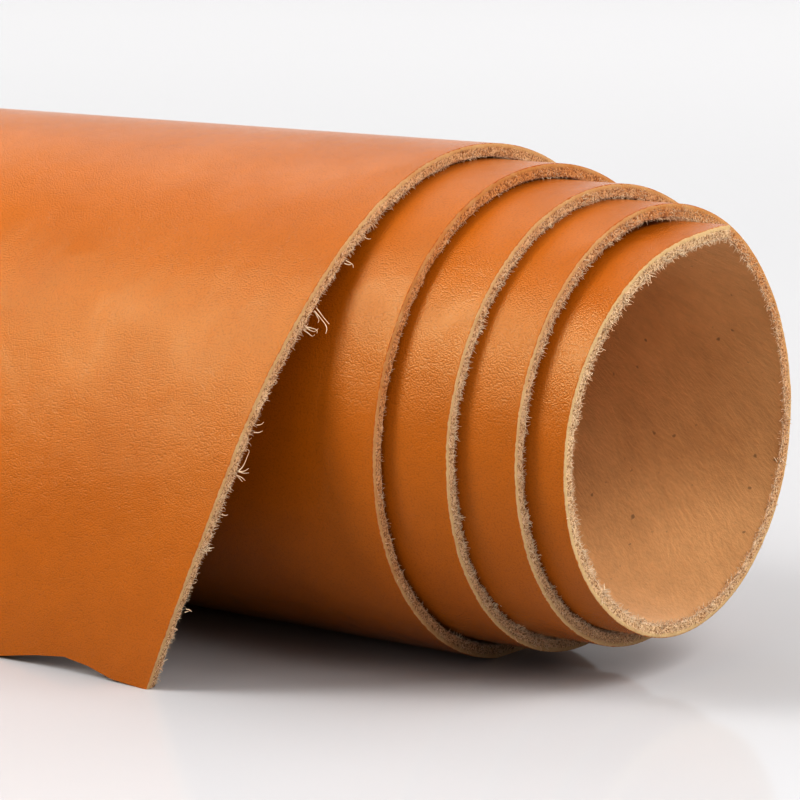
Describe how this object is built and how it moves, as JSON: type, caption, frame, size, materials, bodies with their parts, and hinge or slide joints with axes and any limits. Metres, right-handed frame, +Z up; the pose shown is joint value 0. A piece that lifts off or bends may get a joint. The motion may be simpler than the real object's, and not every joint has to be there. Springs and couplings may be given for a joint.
{
  "type": "rolled leather hide",
  "caption": "Thick vegetable-tanned cowhide rolled grain side out into a hollow stepped roll, its loose end hanging down beside the roll to the surface.",
  "frame": {"origin": "centre of the bounding box in plan, on the surface the roll rests on", "axes": "+X along the roll towards its stepped mouth, +Z up, the loose end hangs on the -Y side"},
  "size_m": [0.3616, 0.1264, 0.1067],
  "materials": {
    "tan_leather": "smooth lightly oiled grain outside, napped flesh side inside, raw fibrous cut edges"
  },
  "bodies": {
    "root": {"hide_roll": "tan_leather"}
  },
  "joints": []
}
